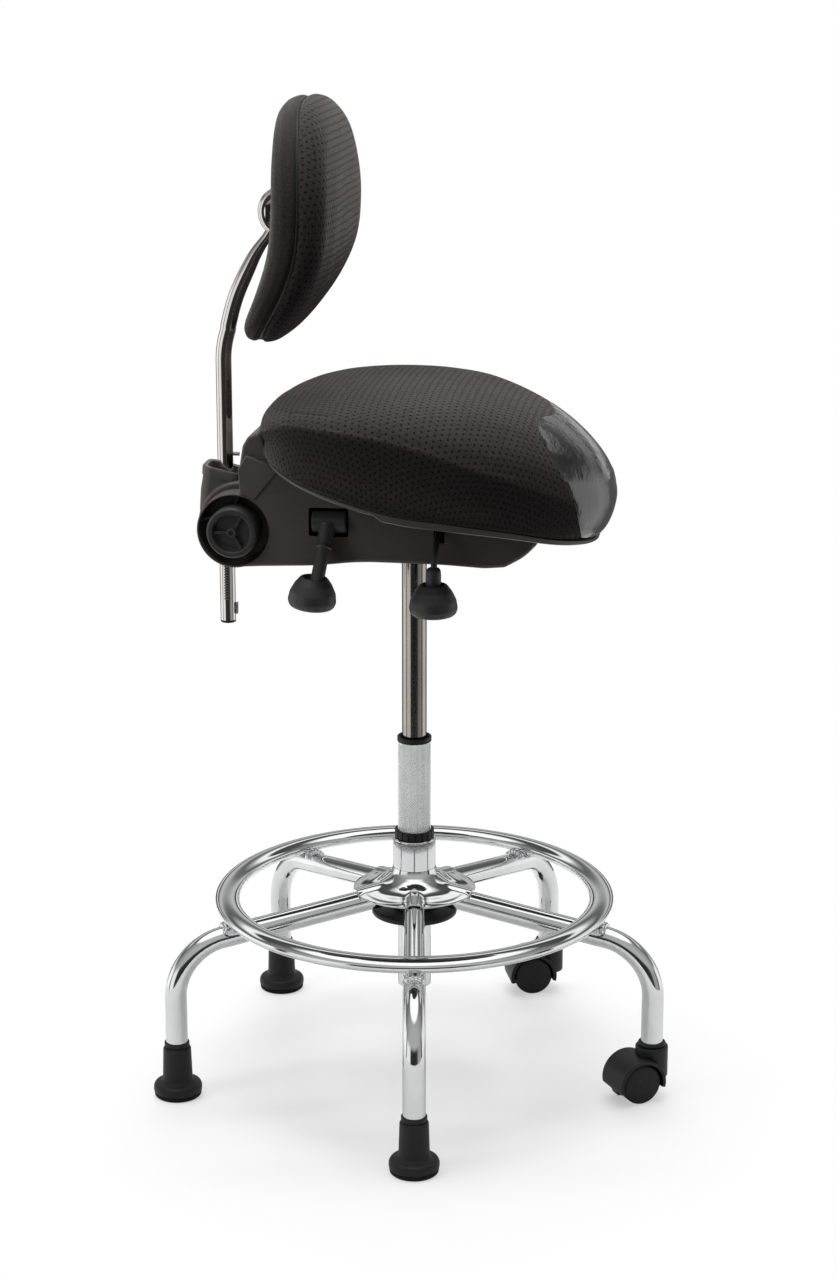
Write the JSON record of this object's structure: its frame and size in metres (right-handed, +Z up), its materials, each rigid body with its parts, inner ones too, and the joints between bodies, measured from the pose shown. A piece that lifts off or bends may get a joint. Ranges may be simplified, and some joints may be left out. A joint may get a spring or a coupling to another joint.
{
  "type": "dentist stool",
  "caption": "Height-adjustable dentist's stool with a tilting saddle-nosed seat, small backrest and chromed foot-ring base on glides and castors.",
  "frame": {"origin": "on the floor, in the middle of the outline that the whole stool covers", "axes": "+Z up along the column, +X the way the seat faces, +Y to the sitter's left"},
  "size_m": [0.5802, 0.5833, 1.117],
  "materials": {
    "chrome": "bright polished chrome plate; the upper stand tube is finely diamond-knurled",
    "dark_chrome": "darker, slightly warm plated steel with fine lengthwise brushing",
    "steel": "plain turned steel",
    "black_steel": "black powder coat",
    "black_plastic": "fine-grained matt black moulded plastic",
    "housing_plastic": "soft satin, very slightly warm dark grey moulded plastic",
    "rubber": "matt black rubber sole",
    "fabric": "woven charcoal upholstery with rows of small raised dots",
    "vinyl": "glossy black coated fabric with fine stretch lines"
  },
  "bodies": {
    "base": {"hub_sleeve": "chrome", "hub_spider": "chrome", "hub_lower_disc": "black_plastic", "stand_tube": "chrome", "foot_ring": "chrome", "lock_ring": "black_plastic", "column_bush": "black_plastic", "column_end_plug": "steel", "thrust_bearing": "steel", "rod_clip": "steel", "piston_rod": "steel", "leg_front": "chrome", "leg_right": "chrome", "leg_back_right": "chrome", "leg_back_left": "chrome", "leg_left": "chrome", "glide_cup_front": "black_plastic", "glide_cup_back_left": "black_plastic", "glide_cup_left": "black_plastic", "glide_pad_front": "rubber", "glide_pad_back_left": "rubber", "glide_pad_left": "rubber", "castor_socket_right": "black_plastic", "castor_socket_back_right": "black_plastic"},
    "gas_lift": {"gas_cylinder": "dark_chrome"},
    "valve": {"valve_pin": "steel"},
    "swivel_head": {"column_head": "black_steel", "tilt_pin": "steel"},
    "seat_unit": {"tilt_frame": "black_steel", "side_cover_right": "housing_plastic", "side_cover_left": "housing_plastic", "seat_shell": "housing_plastic", "seat_cushion": "fabric", "seat_nose_cover": "vinyl"},
    "height_lever": {"height_lever_rod": "black_steel", "height_lever_grip": "black_plastic"},
    "tilt_lever": {"tilt_lever_head": "black_plastic", "tilt_lever_grip": "black_plastic"},
    "back_carrier": {"back_bracket": "housing_plastic"},
    "clamp": {"clamp_spindle": "steel", "clamp_knob": "black_plastic"},
    "back_post": {"back_tube": "dark_chrome", "tube_end_cap": "black_plastic", "stop_pin": "steel", "tube_clip": "steel"},
    "backrest": {"back_hanger": "black_steel", "knuckle_pin": "steel", "back_shell": "fabric", "back_pad": "fabric"},
    "castor_right": {"castor_hood_right": "black_plastic", "castor_stem_right": "steel", "castor_axle_right": "steel"},
    "wheel_near_right": {"castor_wheel_near_right": "black_plastic"},
    "wheel_far_right": {"castor_wheel_far_right": "black_plastic"},
    "castor_back_right": {"castor_hood_back_right": "black_plastic", "castor_stem_back_right": "steel", "castor_axle_back_right": "steel"},
    "wheel_near_back_right": {"castor_wheel_near_back_right": "black_plastic"},
    "wheel_far_back_right": {"castor_wheel_far_back_right": "black_plastic"}
  },
  "joints": [
    {"name": "seat_height", "type": "slide", "parent": "base", "child": "gas_lift", "axis": [0, 0, 1], "range_m": [-0.18, 0]},
    {"name": "seat_swivel", "type": "hinge", "parent": "gas_lift", "child": "swivel_head", "pos_m": [-0.0077, 0.017, 0.64], "axis": [0, 0, 1], "continuous": true},
    {"name": "seat_tilt", "type": "hinge", "parent": "swivel_head", "child": "seat_unit", "pos_m": [0.0243, 0.017, 0.652], "axis": [0, 1, 0], "range_deg": [-5, 4]},
    {"name": "valve_push", "type": "slide", "parent": "gas_lift", "child": "valve", "axis": [0, 0, -1], "range_m": [0, 0.003]},
    {"name": "height_lever_pull", "type": "hinge", "parent": "seat_unit", "child": "height_lever", "pos_m": [0.0253, -0.021, 0.668], "axis": [-1, 0, 0], "range_deg": [0, 6], "stiffness_Nm_per_rad": 1, "springref_deg": -5.73},
    {"name": "tilt_lever_pull", "type": "hinge", "parent": "seat_unit", "child": "tilt_lever", "pos_m": [-0.0927, -0.041, 0.661], "axis": [-1, 0, 0], "range_deg": [0, 20]},
    {"name": "back_angle", "type": "hinge", "parent": "seat_unit", "child": "back_carrier", "pos_m": [-0.1997, 0.017, 0.648], "axis": [0, -1, 0], "range_deg": [-2, 10]},
    {"name": "clamp_turn", "type": "hinge", "parent": "back_carrier", "child": "clamp", "pos_m": [-0.1997, 0.017, 0.648], "axis": [0, -1, 0], "range_deg": [-270, 90]},
    {"name": "back_height", "type": "slide", "parent": "back_carrier", "child": "back_post", "axis": [0, 0, 1], "range_m": [-0.006, 0.045]},
    {"name": "backrest_pivot", "type": "hinge", "parent": "back_post", "child": "backrest", "pos_m": [-0.1577, 0.017, 0.991], "axis": [0, 1, 0], "range_deg": [-8, 5]},
    {"name": "castor_swivel_right", "type": "hinge", "parent": "base", "child": "castor_right", "pos_m": [0.27199, -0.03232, 0.06], "axis": [0, 0, 1], "continuous": true},
    {"name": "wheel_roll_near_right", "type": "hinge", "parent": "castor_right", "child": "wheel_near_right", "pos_m": [0.25353, -0.0443, 0.0235], "axis": [-0.5446, 0.8387, 0], "continuous": true},
    {"name": "wheel_roll_far_right", "type": "hinge", "parent": "castor_right", "child": "wheel_far_right", "pos_m": [0.25353, -0.0443, 0.0235], "axis": [-0.5446, 0.8387, 0], "continuous": true},
    {"name": "castor_swivel_back_right", "type": "hinge", "parent": "base", "child": "castor_back_right", "pos_m": [0.12563, 0.26776, 0.06], "axis": [0, 0, 1], "continuous": true},
    {"name": "wheel_roll_near_back_right", "type": "hinge", "parent": "castor_back_right", "child": "wheel_near_back_right", "pos_m": [0.10459, 0.26132, 0.0235], "axis": [-0.2924, 0.9563, 0], "continuous": true},
    {"name": "wheel_roll_far_back_right", "type": "hinge", "parent": "castor_back_right", "child": "wheel_far_back_right", "pos_m": [0.10459, 0.26132, 0.0235], "axis": [-0.2924, 0.9563, 0], "continuous": true}
  ],
  "couplings": [
    {"joint": "valve_push", "follows": "height_lever_pull", "m_per_rad": 0.0285}
  ]
}
